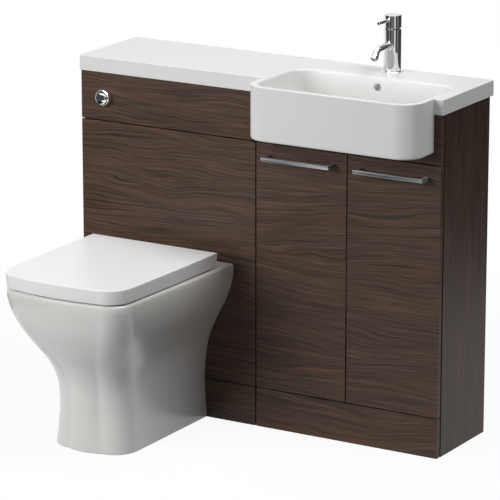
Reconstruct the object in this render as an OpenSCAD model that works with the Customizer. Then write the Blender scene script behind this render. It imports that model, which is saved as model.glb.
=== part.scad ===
// Toilet and basin combination unit: a back-to-wall WC cabinet and a two-door vanity cabinet side by
// side under one cast worktop with a semi-recessed bowl, with a back-to-wall pan in front of the WC side.
// X runs along the wall, Y runs to the wall, Z is up from the floor. Fronts face -Y.

/* [Cabinets] */
// Width of each of the two cabinets
cab_w = 500; // [440:5:600]
// Height of the side panels, from the floor to the underside of the worktop
cab_h = 834; // [790:1:900]
// Thickness of the carcass boards
board_t = 15; // [15:1:19]
// Thickness of doors, front panels and plinths
front_t = 15; // [15:1:18]
// Gap between neighbouring fronts
front_gap = 3; // [2:0.5:4]
// Clearance between a front and the front edges of the sides
front_clear = 2; // [2:0.5:3]
// Distance from the face of the fronts to the back edge of the sides
carcass_rear = 242; // [235:1:280]
// Height of the middle of the gap above the plinth
plinth_split = 99; // [80:1:120]
// Height of the middle of the gap above the doors
door_split = 713; // [700:1:716]

/* [Worktop and bowl] */
// Length of the worktop
top_w = 1007; // [1000:1:1020]
// Thickness of the worktop edge
top_t = 37; // [30:1:40]
// Distance from the face of the fronts to the back edge of the worktop
top_rear = 256; // [250:1:300]
// Overhang of the worktop's front edge
top_nose = 2; // [1:0.5:10]
// Outside width of the bowl
bowl_w = 457; // [430:1:470]
// Distance that the bowl stands out in front of the fronts
bowl_reach = 101; // [80:1:120]
// Outside height of the bowl
bowl_h = 131; // [110:1:131]
// Plan radius of the bowl's front corners
bowl_r = 55; // [40:1:70]
// Thickness of the bowl's wall at the rim
bowl_wall = 17; // [12:1:20]
// Distance from the face of the fronts to the back of the bowl's hollow
bowl_back = 146; // [130:1:150]

/* [Tap] */
// Radius of the tap body
tap_r = 21; // [19:0.5:23]
// Height of the tap above the worktop
tap_h = 139; // [130:1:160]
// Height of the turning cap on the tap
cap_h = 31; // [28:1:36]
// Gap between the cap and the body
cap_gap = 3; // [2:0.5:4]
// Height above the worktop at which the spout's middle line leaves the tap's middle
spout_z = 68.5; // [60:0.5:80]
// Radius of the spout
spout_r = 8; // [7.5:0.5:9]
// Length of the lever from the tap's middle
lever_l = 70; // [65:1:85]

/* [Pan and seat] */
// Height of the pan's rim
pan_h = 403; // [395:1:420]
// Distance that the lid stands out in front of the fronts
lid_reach = 496; // [480:1:510]
// Distance from the fronts to the back edge of the lid
lid_back = 62; // [55:1:70]
// Half the width of the lid at its back edge
lid_hw = 179; // [170:1:185]
// Depth of the lid's edge
lid_h = 35; // [30:1:40]
// Height of the middle of the soil outlet
outlet_z = 180; // [175:1:185]
// Height of the middle of the flush inlet
inlet_z = 335; // [325:1:345]

/* [Handles and button] */
// Length of the handle bars
bar_l = 185; // [150:5:220]
// Width and depth of the square handle bar
bar_t = 9; // [7:0.5:12]
// Distance from the door's face to the middle of the bar
bar_out = 29; // [24:1:34]
// Distance of the flush button from the left end of the WC cabinet
button_in = 71; // [55:1:90]
// Height of the flush button
button_z = 773; // [765:1:785]
// Radius of the flush button's collar
button_r = 20.5; // [18:0.5:24]

/* [Hidden] */

$fn = 64;
eps = 0.01;
slice = 0.5;
cut = 1;
// The middle of the overall depth is the origin, so the fronts stand this far behind it.
front_y = (lid_reach - top_rear) / 2;
carcass_front = front_t + front_clear;
half_gap = front_gap / 2;
top_z = cab_h + top_t;
plinth_top = plinth_split - half_gap;
door_bottom = plinth_split + half_gap;
door_top = door_split - half_gap;
fascia_bottom = door_split + half_gap;
fascia_top = cab_h - 1;
door_w = cab_w / 2 - front_gap;
base_z = plinth_top;
rail_y = carcass_rear - board_t;
inner_w = cab_w - 2 * board_t;

// Bowl: the hollow and the ceramic round it
bowl_x = cab_w / 2;
bowl_bottom = top_z - bowl_h;
bowl_floor = bowl_bottom + 17;
bowl_outer_back = bowl_back + 28;
bowl_edge_r = 6;
waste_y = 60;
waste_hole_r = 23;
overflow_z = top_z - 26;
overflow_r = 9;
duct_w = 28;

// Tap
tap_x = bowl_x;
tap_y = 217;
tap_hole_r = 17.5;
cap_z = top_z + tap_h - cap_h;
tap_body_top = cap_z - cap_gap;
lever_z = top_z + tap_h - 11;
lever_r = 4;
spout_tilt = 2;
spout_run = 67;
spout_bend_r = 18;
spout_bend_a = 49;
nozzle_l = 19;
nozzle_r = 9.5;
aerator_seat = 8;

// Flush button
button_x = -cab_w + button_in;
collar_out = 18;
dome_out = 24;
button_bore_r = 15.5;
button_travel = 5;

// Pan: its middle, its wall, and stations of [height, half width at the panel, reach at the front]
wc_x = -cab_w / 2;
pan_wall = 14;
pan_stations = [
    [0, 110, 387], [50, 106, 384], [105, 104, 382], [160, 108, 387], [210, 118, 407],
    [260, 140, 441], [310, 166, 468], [355, 182, 484], [385, 187, 492], [397, 187, 493],
    [401.5, 184, 490], [pan_h, 180, 486]];
// How far in the pan's sides run from the panel to its front corners, as a share of the half width
pan_taper = 0.075;
pan_bow = 9;
side_steps = 5;
corner_steps = 7;
bow_steps = 3;
hinge_y = -lid_back - 9;
hinge_z = pan_h + 17;
hinge_x = 78;
pin_r = 4;
run_clear = 0.05;
lid_z = pan_h + 3.5;
lid_top = lid_z + lid_h;
lid_skin = 8;
lid_skirt = 5;
ring_z = pan_h + 3;
ring_t = 20;
ring_back = hinge_y - 19;
lug_x = 92;
lug_w = 11;
outlet_r = 51;
flush_r = 22;

// Cistern
tank_w = 360;
tank_front = 75;
tank_rear = 215;
tank_z = 450;
tank_h = 340;
tank_wall = 4;
flush_y = 145;
fill_x = wc_x + 115;

// Door hinges: the door turns about a point near its outer front corner. Places are measured
// inward from the door's outer edge and back from its face.
hinge_heights = [door_bottom + 90, door_top - 90];
cup_in = 20.5;
cup_r = 17.5;
cup_depth = 11.5;
door_open = 100;
door_pivot = [5, 5];
// Each link turns on a pin at link_a and ends at link_b in the cup, both when shut and when open.
link_a = [32, 11.5];
link_turn = atan2(link_a[1] - door_pivot[1], link_a[0] - door_pivot[0]) + door_open / 2;
link_b = door_pivot + 6.5 * [cos(link_turn), sin(link_turn)];
link_knee = [13.5, 7.5];
link_h = 9;

// Finishes
ceramic = "whitesmoke";
walnut = [0.33, 0.26, 0.22];
chrome = [0.78, 0.79, 0.80];
steel = [0.60, 0.61, 0.62];
plastic = [0.92, 0.92, 0.90];
rubber = [0.16, 0.16, 0.17];

// ---------------------------------------------------------------- helpers

// Everything is drawn with the fronts' face at Y = 0, and set in place by this.
module place() translate([0, front_y, 0]) children();

module at_wc() translate([wc_x, 0, 0]) children();

// A board given by its lowest and highest corners
module board(low, high) translate(low) cube(high - low);

// An upright rounded block, centred in plan
module rounded_block(w, d, h, r) linear_extrude(h) {
    square([w - 2 * r, d], center = true);
    square([w, d - 2 * r], center = true);
    for (sx = [-1, 1], sy = [-1, 1])
        translate([sx * (w / 2 - r), sy * (d / 2 - r)]) circle(r);
}

// A rod or hole along X or Y, starting at its given end
module rod_x(r, l) rotate([0, 90, 0]) cylinder(r = r, h = l);
module rod_y(r, l) rotate([-90, 0, 0]) cylinder(r = r, h = l);

module tube_z(r_out, r_in, h) difference() {
    cylinder(r = r_out, h = h);
    translate([0, 0, -cut]) cylinder(r = r_in, h = h + 2 * cut);
}

module tube_y(r_out, r_in, l) rotate([-90, 0, 0]) tube_z(r_out, r_in, l);

// A hexagon nut with its bore upright
module hex_nut(flats, r_in, h) difference() {
    cylinder(d = flats / cos(30), h = h, $fn = 6);
    translate([0, 0, -cut]) cylinder(r = r_in, h = h + 2 * cut);
}

// One corner disc of a tapering rounded hollow or block, for hull()
module corner_discs(x0, x1, y0, y1, r_front, r_rear, inset, z)
    for (c = [[x0, y0, r_front, 1, 1], [x1, y0, r_front, -1, 1], [x0, y1, r_rear, 1, -1], [x1, y1, r_rear, -1, -1]])
        translate([c[0] + c[3] * c[2], c[1] + c[4] * c[2], z])
            cylinder(r = c[2] - inset, h = slice, $fn = 48);

// One level of a soft rounded outline: straight back, tapering sides, round front corners, bowed front.
// hw is the half width at the back, hf the half width at the front corners.
function outline(hw, hf, back, reach, r, bow, z) =
    let (half = concat(
        [for (i = [0 : side_steps - 1])
            let (t = i / side_steps)
            [hw - (hw - hf) * t * t, back + (-reach + bow + r - back) * t, z]],
        [for (i = [0 : corner_steps])
            let (a = 90 * i / corner_steps)
            [hf - r + r * cos(a), -reach + bow + r - r * sin(a), z]],
        [for (i = [1 : bow_steps])
            let (x = (hf - r) * (1 - i / bow_steps))
            [x, -reach + bow * pow(x / (hf - r), 2), z]]))
    concat(half, [for (i = [len(half) - 2 : -1 : 0]) [-half[i][0], half[i][1], half[i][2]]]);

// One level of an oval hollow
function oval(a, b, cy, z, n = 32) =
    [for (i = [0 : n - 1])
        let (t = 360 * i / n, c = cos(t), s = sin(t))
        [a * sign(c) * pow(abs(c), 0.75), cy + b * sign(s) * pow(abs(s), 0.75), z]];

// A closed skin over levels that all have the same number of points, from the bottom up
module loft(levels) {
    n = len(levels[0]);
    m = len(levels);
    clockwise = levels[0][1][1] < levels[0][0][1];
    points = [for (level = levels) each level];
    sides = [for (k = [0 : m - 2], i = [0 : n - 1])
        let (a = k * n + i, b = k * n + (i + 1) % n, c = b + n, d = a + n)
        each (clockwise ? [[a, b, c], [a, c, d]] : [[a, c, b], [a, d, c]])];
    bottom = [for (i = [0 : n - 1]) clockwise ? n - 1 - i : i];
    top = [for (i = [0 : n - 1]) (m - 1) * n + (clockwise ? i : n - 1 - i)];
    polyhedron(points = points, faces = concat(sides, [bottom], [top]), convexity = 8);
}

// ---------------------------------------------------------------- worktop and bowl

// The bowl's outside, with a small radius round its bottom edge
module bowl_outside() hull()
    for (s = [[0, bowl_edge_r], [1.5, 3.2], [bowl_edge_r, 1], [bowl_h - slice, 0]])
        corner_discs(bowl_x - bowl_w / 2, bowl_x + bowl_w / 2, -bowl_reach, bowl_outer_back,
            bowl_r, 24, s[1], bowl_bottom + s[0]);

// The bowl's hollow: steep walls that turn into the floor
module bowl_hollow() hull()
    for (s = [[bowl_floor, 34], [bowl_floor + 3, 24], [bowl_floor + 11, 14], [bowl_floor + 33, 8],
            [top_z + cut, 0]])
        corner_discs(bowl_x - bowl_w / 2 + bowl_wall, bowl_x + bowl_w / 2 - bowl_wall,
            -bowl_reach + bowl_wall, bowl_back, 38, 38, s[1], s[0]);

module overflow_way() {
    translate([bowl_x, bowl_back - 10, overflow_z]) rod_y(overflow_r, 22);
    board([bowl_x - duct_w / 2, bowl_back + 10, bowl_bottom + 4],
        [bowl_x + duct_w / 2, bowl_back + 20, overflow_z + 12]);
    board([bowl_x - duct_w / 2, waste_y + 15, bowl_bottom + 4],
        [bowl_x + duct_w / 2, bowl_back + 20, bowl_bottom + 12]);
}

module basin_top() place() color(ceramic) difference() {
    union() {
        translate([0, (top_rear - top_nose) / 2, cab_h])
            rounded_block(top_w, top_rear + top_nose, top_t, 4);
        bowl_outside();
    }
    bowl_hollow();
    overflow_way();
    translate([tap_x, tap_y, cab_h - cut]) cylinder(r = tap_hole_r, h = top_t + 2 * cut);
    translate([bowl_x, waste_y, bowl_bottom - cut]) cylinder(r = waste_hole_r, h = 40);
}

// ---------------------------------------------------------------- tap

module at_tap() translate([tap_x, tap_y, 0]) children();

// The spout's middle line starts here and runs towards -Y
module at_spout() at_tap() translate([0, 0, top_z + spout_z]) rotate([spout_tilt, 0, 0]) children();

// The end of the bend, where the nozzle runs on towards -Y
module at_nozzle() at_spout() translate([0, -spout_run, -spout_bend_r]) rotate([spout_bend_a, 0, 0])
    translate([0, 0, spout_bend_r]) children();

// A straight run, a short bend and a nozzle that widens from r1 to r2
module spout_path(r, root, r1, r2) {
    at_spout() translate([0, -spout_run, 0]) {
        rod_y(r, spout_run - root);
        translate([0, 0, -spout_bend_r]) rotate([0, -90, 0]) rotate([180, 0, 0])
            rotate_extrude(angle = spout_bend_a) translate([spout_bend_r, 0]) circle(r);
    }
    at_nozzle() translate([0, 1, 0]) rotate([90, 0, 0]) cylinder(r1 = r1, r2 = r2, h = nozzle_l + 1);
}

module tap_body() place() color(chrome) difference() {
    union() {
        at_tap() translate([0, 0, top_z]) cylinder(r = tap_r, h = tap_body_top - top_z);
        spout_path(spout_r, 0, spout_r + 0.4, nozzle_r);
    }
    // seat of the cartridge
    at_tap() translate([0, 0, tap_body_top - 36]) cylinder(r = 17.5, h = 36 + cut);
    // waterway of the spout and seat of the aerator
    spout_path(5, 10, 5.4, 5.8);
    at_nozzle() translate([0, -nozzle_l - cut, 0]) rod_y(8, aerator_seat + cut);
    // threaded holes for the two tails and for the stud
    at_tap() for (sx = [-1, 1]) translate([sx * 9, -4, top_z - cut]) cylinder(r = 4.5, h = 13);
    at_tap() translate([0, 9, top_z - cut]) cylinder(r = 4, h = 15);
}

module tap_aerator() place() color(steel) at_nozzle()
    translate([0, -nozzle_l - 0.5, 0]) tube_y(7.9, 5, 7);

module tap_base_ring() place() color(chrome) at_tap()
    translate([0, 0, top_z]) tube_z(26, tap_r + 0.1, 2.5);

module tap_cartridge() place() color(plastic) at_tap() {
    translate([0, 0, tap_body_top - 35.8]) tube_z(17.3, 6, 33);
}

// The cartridge's stem, which turns for temperature
module tap_spindle() place() color(steel) at_tap() {
    translate([0, 0, tap_body_top - 20]) cylinder(r = 5.9, h = 19);
    translate([0, 0, tap_body_top - 1]) cylinder(r = 4.5, h = 17);
}

// The cap over the cartridge: a cup with its open side down
module tap_cap() place() color(chrome) at_tap() difference() {
    translate([0, 0, cap_z]) cylinder(r = tap_r, h = cap_h);
    translate([0, 0, cap_z - cut]) cylinder(r = tap_r - 3, h = cap_h - 5);
    translate([0, -tap_r - cut, lever_z]) rod_y(3, 5);
    // flat seat of the lever's shoulder
    translate([0, -tap_r - cut, lever_z]) rod_y(lever_r + 0.05, cut + 0.45);
}

module tap_lever() place() color(chrome) at_tap() {
    translate([0, -lever_l, lever_z]) rod_y(lever_r, lever_l - tap_r + 0.4);
    translate([0, -tap_r + 0.4, lever_z]) rod_y(2.98, 2.4);
}

module tap_washer() place() color(steel) at_tap() difference() {
    translate([0, 0, cab_h - 6]) cylinder(r = 23, h = 6);
    translate([0, 9, cab_h - 7]) cylinder(r = 4.2, h = 8);
    // the open side for the two tails
    board([-15, -30, cab_h - 7], [15, 3, cab_h + 1]);
}

// The stud that holds the tap down, and its nut
module tap_stud() place() color(steel) at_tap() translate([0, 9, 0]) {
    translate([0, 0, top_z - 62]) cylinder(r = 3.95, h = 72);
    translate([0, 0, cab_h - 16]) hex_nut(16, 4.05, 10);
}

// ---------------------------------------------------------------- waste and trap

module at_waste() translate([bowl_x, waste_y, 0]) children();

module waste_body() place() color(chrome) at_waste() difference() {
    union() {
        translate([0, 0, bowl_floor]) cylinder(r = 32, h = 2.5);
        translate([0, 0, bowl_floor - 64]) cylinder(r = 21, h = 65);
    }
    // water way above and below the plug's guide
    translate([0, 0, bowl_floor - 18]) cylinder(r = 18, h = 24);
    translate([0, 0, bowl_floor - 65]) cylinder(r = 18, h = 43);
    for (a = [0 : 90 : 270]) rotate([0, 0, a + 45])
        translate([12.5, 0, bowl_floor - 24]) cylinder(r = 4.5, h = 8);
    translate([0, 0, bowl_floor - 24]) cylinder(r = 4.05, h = 8);
    // windows for the overflow
    for (a = [0, 180]) rotate([0, 0, a]) board([-7, 14, bowl_floor - 14], [7, 24, bowl_floor - 5]);
}

module waste_plug() place() color(chrome) at_waste() {
    translate([0, 0, bowl_floor + 3]) cylinder(r1 = 29, r2 = 27, h = 4);
    translate([0, 0, bowl_floor - 32]) cylinder(r = 4, h = 36);
}

module waste_nut() place() color(plastic) at_waste()
    translate([0, 0, bowl_bottom - 12]) hex_nut(50, 21.05, 12);

trap_top = bowl_floor - 66;
trap_arm_z = trap_top - 40;

// The bottle trap: a barrel, its dip tube and the socket of its outlet
module trap_body() place() color(plastic) at_waste() difference() {
    union() {
        translate([0, 0, trap_top - 80]) cylinder(r = 27, h = 72);
        translate([0, 0, trap_top - 12]) cylinder(r = 20, h = 12);
        translate([0, 0, trap_arm_z]) rod_y(20, 46);
    }
    difference() {
        translate([0, 0, trap_top - 81]) cylinder(r = 24, h = 70);
        translate([0, 0, trap_top - 75]) cylinder(r = 17, h = 75);
    }
    translate([0, 0, trap_top - 82]) cylinder(r = 14, h = 84);
    translate([0, 21, trap_arm_z]) rod_y(16.2, 26);
}

module trap_cup() place() color(plastic) at_waste() difference() {
    union() {
        translate([0, 0, trap_top - 112]) cylinder(r = 30, h = 46);
        translate([0, 0, trap_top - 116]) cylinder(r = 20, h = 5);
    }
    translate([0, 0, trap_top - 108]) cylinder(r = 27.1, h = 43);
}

module trap_collars() place() color(plastic) at_waste() {
    translate([0, 0, trap_top - 8]) difference() {
        cylinder(r = 27, h = 26);
        translate([0, 0, -cut]) cylinder(r = 20.1, h = 10);
        translate([0, 0, 8]) cylinder(r = 21.1, h = 20);
    }
    translate([0, 29, trap_arm_z]) tube_y(25, 20.1, 16);
    translate([0, 46.2, trap_arm_z]) tube_y(25, 15.2, 6);
}

// The stretch inside the collars is turned down a little, so the pipe stops at the step
module trap_outlet() place() color(plastic) at_waste() difference() {
    union() {
        translate([0, 24, trap_arm_z]) rod_y(15, 40);
        translate([0, 53, trap_arm_z]) rod_y(16, top_rear - waste_y - 57);
    }
    translate([0, 24 - cut, trap_arm_z]) rod_y(14, top_rear);
}

// ---------------------------------------------------------------- vanity cabinet

module vanity_side_left() place() color(walnut)
    board([0, carcass_front, 0], [board_t, carcass_rear, cab_h]);

module vanity_side_right() place() color(walnut)
    board([cab_w - board_t, carcass_front, 0], [cab_w, carcass_rear, cab_h]);

module vanity_base() place() color(walnut)
    board([board_t, carcass_front, base_z], [cab_w - board_t, carcass_rear, base_z + board_t]);

// Upright rail under the bowl: it carries the fascia and stops the doors.
module vanity_front_rail() place() color(walnut)
    board([board_t, carcass_front, 690], [cab_w - board_t, carcass_front + board_t, bowl_bottom - 5]);

module rail_hole(x, z) translate([x, rail_y - cut, z]) rod_y(3, board_t + 2 * cut);

// Upright rails at the back: the upper one takes the two wall screws.
module vanity_back_rails() place() color(walnut) {
    difference() {
        board([board_t, rail_y, 692], [cab_w - board_t, carcass_rear, 772]);
        for (x = [70, cab_w - 70]) rail_hole(x, 720);
    }
    board([board_t, rail_y, base_z + board_t], [cab_w - board_t, carcass_rear, base_z + board_t + 80]);
}

// The fascia is notched for the bowl.
module vanity_fascia() place() color(walnut) difference() {
    board([half_gap, 0, fascia_bottom], [cab_w - half_gap, front_t, fascia_top]);
    board([bowl_x - bowl_w / 2 - 1, -cut, bowl_bottom - 1],
        [bowl_x + bowl_w / 2 + 1, front_t + cut, fascia_top + cut]);
}

module vanity_plinth() place() color(walnut)
    board([half_gap, 0, 0], [cab_w - half_gap, front_t, plinth_top]);

// Draws its child at the left door's outer front corner, or mirrored at the right door's.
module at_left_door() translate([half_gap, 0, 0]) children();
module at_right_door() translate([cab_w - half_gap, 0, 0]) mirror([1, 0, 0]) children();

module door_blank() difference() {
    board([0, 0, door_bottom], [door_w, front_t, door_top]);
    for (z = hinge_heights)
        translate([cup_in, front_t - cup_depth, z]) rod_y(cup_r, cup_depth + cut);
    for (s = [-1, 1])
        translate([door_w / 2 + s * post_gap / 2, -cut, bar_z]) rod_y(2.3, front_t + 2 * cut);
}

bar_z = door_top - 31.5;
post_gap = bar_l - bar_t;

// A square bar with a square leg at each end, and a threaded hole in each leg
module handle_parts() translate([door_w / 2, 0, bar_z]) difference() {
    board([-bar_l / 2, -bar_out - bar_t / 2, -bar_t / 2], [bar_l / 2, 0, bar_t / 2]);
    board([-bar_l / 2 + bar_t, -bar_out + bar_t / 2, -bar_t], [bar_l / 2 - bar_t, cut, bar_t]);
    for (s = [-1, 1]) translate([s * post_gap / 2, -bar_out + bar_t / 2 + 6, 0]) rod_y(2, bar_out);
}

module handle_screw_pair()
    for (s = [-1, 1]) translate([door_w / 2 + s * post_gap / 2, 0, bar_z]) {
        translate([0, -10, 0]) rod_y(1.98, front_t + 10);
        translate([0, front_t, 0]) rod_y(4.5, 2.2);
    }

// The cups let into the door, each with a thin flange on the door's back
module cup_pair()
    for (z = hinge_heights) translate([cup_in, 0, z]) {
        translate([0, front_t - cup_depth, 0]) difference() {
            rod_y(cup_r - 0.1, cup_depth);
            translate([0, 1, 0]) rod_y(cup_r - 1, cup_depth + cut);
        }
        translate([0, front_t, 0]) difference() {
            union() {
                rod_y(cup_r + 1, 1);
                board([1, 0, -26], [11, 1, 26]);
            }
            translate([0, -cut, 0]) rod_y(cup_r - 1, 3);
        }
    }

// The outline of a bent link from a through its knee to b, half_w to each side
module link_outline(a, knee, b, half_w) {
    d1 = (knee - a) / norm(knee - a);
    d2 = (b - knee) / norm(b - knee);
    n1 = half_w * [-d1[1], d1[0]];
    n2 = half_w * [-d2[1], d2[0]];
    mitre = (n1 + n2) / (1 + d1 * d2);
    polygon([a + n1, knee + mitre, b + n2, b - n2, knee - mitre, a - n1]);
}

// The links between the fixed arms and the cups
module link_pair() for (z = hinge_heights) translate([0, 0, z - link_h / 2])
    linear_extrude(link_h) difference() {
        union() {
            link_outline(link_a, link_knee, link_b, 1.3);
            translate(link_a) circle(r = 2.2);
            translate(link_b) circle(r = 1.5);
        }
        translate(link_a) circle(r = 1.3);
    }

// One side's fixed arms with their plates on the side panel and the pins that carry the links
module arm_pair() {
    face = board_t - half_gap;
    for (z = hinge_heights) translate([0, 0, z]) {
        board([face, 36, -24], [face + 3, 68, 24]);
        board([face + 3 - eps, 28, -6.8], [face + 11, 66, 6.8]);
        for (low = [-6.8, 4.8]) translate([0, 0, low]) {
            board([face + 3, 20, 0], [face + 11, 30, 2]);
            board([face + 3, 20, 0], [link_a[0] + 2.2, 24, 2]);
            board([link_a[0] - 2.2, link_a[1], 0], [link_a[0] + 2.2, 24, 2]);
            translate(link_a) cylinder(r = 2.2, h = 2);
        }
        translate([link_a[0], link_a[1], -6]) cylinder(r = 1.25, h = 12);
    }
}

module door_left() place() color(walnut) at_left_door() door_blank();
module door_right() place() color(walnut) at_right_door() door_blank();
module handle_left() place() color(steel) at_left_door() handle_parts();
module handle_right() place() color(steel) at_right_door() handle_parts();
module handle_screws_left() place() color(steel) at_left_door() handle_screw_pair();
module handle_screws_right() place() color(steel) at_right_door() handle_screw_pair();
module hinge_cups_left() place() color(steel) at_left_door() cup_pair();
module hinge_cups_right() place() color(steel) at_right_door() cup_pair();
module hinge_links_left() place() color(steel) at_left_door() link_pair();
module hinge_links_right() place() color(steel) at_right_door() link_pair();

module hinge_arms() place() color(steel) {
    at_left_door() arm_pair();
    at_right_door() arm_pair();
}

// ---------------------------------------------------------------- angle brackets of the fixed fronts

// One angle bracket in the corner between a front and a side. s is 1 at a left side, -1 at a right side.
module bracket(x, z, s, w) translate([x, front_t, z]) mirror([s < 0 ? 1 : 0, 0, 0]) {
    cube([w, 2, 20]);
    cube([2, 30, 20]);
}

module panel_brackets() place() color(steel) {
    for (z = [30, 150, 640, 740, 800]) {
        bracket(-cab_w + board_t, z, 1, 24);
        bracket(-board_t, z, -1, 24);
    }
    for (p = [[30, 24], [760, 5.5]]) {
        bracket(board_t, p[0], 1, p[1]);
        bracket(cab_w - board_t, p[0], -1, p[1]);
    }
}

// ---------------------------------------------------------------- WC cabinet

module wc_side_left() place() color(walnut)
    board([-cab_w, carcass_front, 0], [-cab_w + board_t, carcass_rear, cab_h]);

module wc_side_right() place() color(walnut)
    board([-board_t, carcass_front, 0], [0, carcass_rear, cab_h]);

module wc_upper_panel() place() color(walnut) difference() {
    board([-cab_w + half_gap, 0, fascia_bottom], [-half_gap, front_t, fascia_top]);
    translate([button_x, -cut, button_z]) rod_y(17, front_t + 2 * cut);
}

module wc_lower_panel() place() color(walnut) difference() {
    board([-cab_w + half_gap, 0, door_bottom], [-half_gap, front_t, door_top]);
    translate([wc_x, -cut, outlet_z]) rod_y(outlet_r + 3, front_t + 2 * cut);
    translate([wc_x, -cut, inlet_z]) rod_y(flush_r + 6, front_t + 2 * cut);
}

module wc_plinth() place() color(walnut)
    board([-cab_w + half_gap, 0, 0], [-half_gap, front_t, plinth_top]);

// Rails between the sides: three at the back, the top one with the wall screws, and one at the front
module wc_rails() place() color(walnut) {
    difference() {
        board([-cab_w + board_t, rail_y, 680], [-board_t, carcass_rear, 760]);
        for (x = [-cab_w + 70, -70]) rail_hole(x, 720);
    }
    for (z = [20, 480]) board([-cab_w + board_t, rail_y, z], [-board_t, carcass_rear, z + 80]);
    board([-cab_w + board_t, carcass_front, 690], [-board_t, carcass_front + board_t, 736]);
}

// ---------------------------------------------------------------- cistern

module cistern_tank() place() color(plastic) difference() {
    union() {
        translate([wc_x, (tank_front + tank_rear) / 2, tank_z])
            rounded_block(tank_w, tank_rear - tank_front, tank_h, 18);
        // pads that hang the tank on the back rails
        for (x = [wc_x - 110, wc_x + 70], z = [500, 700])
            board([x, tank_rear - 2, z], [x + 40, rail_y, z + 40]);
    }
    translate([wc_x, (tank_front + tank_rear) / 2, tank_z + tank_wall])
        rounded_block(tank_w - 2 * tank_wall, tank_rear - tank_front - 2 * tank_wall, tank_h, 14);
    translate([wc_x, flush_y, tank_z - cut]) cylinder(r = 30, h = 10);
    translate([fill_x, flush_y, tank_z - cut]) cylinder(r = 11, h = 10);
}

module cistern_lid() place() color(plastic) translate([wc_x, (tank_front + tank_rear) / 2, 0]) {
    translate([0, 0, tank_z + tank_h]) rounded_block(tank_w + 6, tank_rear - tank_front + 6, 4, 20);
    translate([0, 0, tank_z + tank_h - 8])
        rounded_block(tank_w - 2 * tank_wall - 2, tank_rear - tank_front - 2 * tank_wall - 2, 8, 13);
}

module at_flush() translate([wc_x, flush_y, tank_z]) children();

// The flush valve: a base through the tank's floor with its nut, and a cage for the seal
module flush_valve() place() color(plastic) at_flush() {
    difference() {
        union() {
            translate([0, 0, -36]) cylinder(r = 29.5, h = 42);
            translate([0, 0, tank_wall]) cylinder(r = 40, h = 8);
            translate([0, 0, -16]) cylinder(r = 40, h = 16);
        }
        translate([0, 0, -37]) cylinder(r = 24, h = 60);
    }
    for (a = [0 : 90 : 270]) rotate([0, 0, a]) board([33, -4, 11], [38, 4, 181]);
    translate([0, 0, 180]) difference() {
        cylinder(r = 38, h = 40);
        translate([0, 0, -cut]) cylinder(r = 33, h = 35);
        translate([0, 0, 30]) cylinder(r = 16.5, h = 15);
    }
}

// The lifting part: overflow tube, float collar and the rubber seal on the valve's seat
module flush_seal() place() color(rubber) at_flush() difference() {
    union() {
        translate([0, 0, 12.2]) cylinder(r = 28, h = 5);
        translate([0, 0, 17]) cylinder(r = 16, h = 213);
        translate([0, 0, 90]) cylinder(r = 26, h = 30);
    }
    translate([0, 0, 5]) cylinder(r = 13, h = 240);
}

// The fill valve: a shank through the floor with its nut, a riser and a head
module fill_valve() place() color(plastic) translate([fill_x, flush_y, tank_z]) difference() {
    union() {
        translate([0, 0, -40]) cylinder(r = 10.4, h = 60);
        translate([0, 0, tank_wall]) cylinder(r = 18, h = 8);
        translate([0, 0, -10]) cylinder(r = 18, h = 10);
        translate([0, 0, 12]) cylinder(r = 12, h = 236);
        translate([0, 0, 132]) cylinder(r = 16, h = 7);
        translate([0, 0, 248]) cylinder(r = 22, h = 34);
    }
    translate([0, 0, -41]) cylinder(r = 5, h = 60);
}

module fill_float() place() color(plastic) translate([fill_x, flush_y, tank_z])
    translate([0, 0, 140]) tube_z(30, 12.6, 60);

// The flush pipe: down from the valve, round a bend and forward into the pan
flush_bend_r = 50;
module flush_path(r, extra) {
    drop = tank_z - 2 - inlet_z - flush_bend_r;
    translate([wc_x, flush_y, inlet_z + flush_bend_r]) cylinder(r = r, h = drop + extra);
    translate([wc_x, flush_y - flush_bend_r, inlet_z + flush_bend_r]) rotate([0, 90, 0])
        rotate_extrude(angle = 90) translate([flush_bend_r, 0]) circle(r);
    translate([wc_x, -24 - extra, inlet_z]) rod_y(r, flush_y - flush_bend_r + 24 + extra);
}

module flush_pipe() place() color(plastic) difference() {
    flush_path(flush_r, 0);
    flush_path(flush_r - 2, cut);
}

// ---------------------------------------------------------------- flush button

module at_button() translate([button_x, 0, button_z]) children();

// The collar on the panel's face, its threaded barrel through the panel and the nut behind
module button_collar() place() color(chrome) at_button() {
    difference() {
        union() {
            translate([0, -collar_out, 0]) rotate([-90, 0, 0]) cylinder(r1 = button_r - 2, r2 = button_r, h = 3);
            translate([0, -collar_out + 3, 0]) rod_y(button_r, collar_out - 3);
            rod_y(16.8, 45);
        }
        translate([0, -collar_out - cut, 0]) rod_y(button_bore_r, collar_out + 38);
    }
}

module button_nut() place() color(plastic) at_button()
    translate([0, front_t, 0]) tube_y(23, 16.85, 7);

// The two domed halves of the button. s is -1 for the left one and 1 for the right one.
module button_piece(s, split) intersection() {
    translate([0, 16, 0]) sphere(r = dome_out + 16);
    translate([0, -dome_out - cut, 0]) rod_y(button_bore_r - 0.3, dome_out + 14);
    board([s < 0 ? -30 : split + 0.3, -60, -30], [s < 0 ? split - 0.3 : 30, 60, 30]);
}

module button_full() place() color(chrome) at_button() button_piece(-1, 4);
module button_half() place() color(chrome) at_button() button_piece(1, 4);

// ---------------------------------------------------------------- pan

// The pan's outside at one station, drawn in by a wall thickness
function pan_level(s, wall = 0, z = undef) =
    let (hw = s[1] - wall, hf = s[1] * (1 - pan_taper * (s[0] + 30) / (pan_h + 30)) - wall)
    outline(hw, hf, -wall, s[2] - wall, min(62 - wall / 2, hf - 4), pan_bow, is_undef(z) ? s[0] : z);

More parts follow.
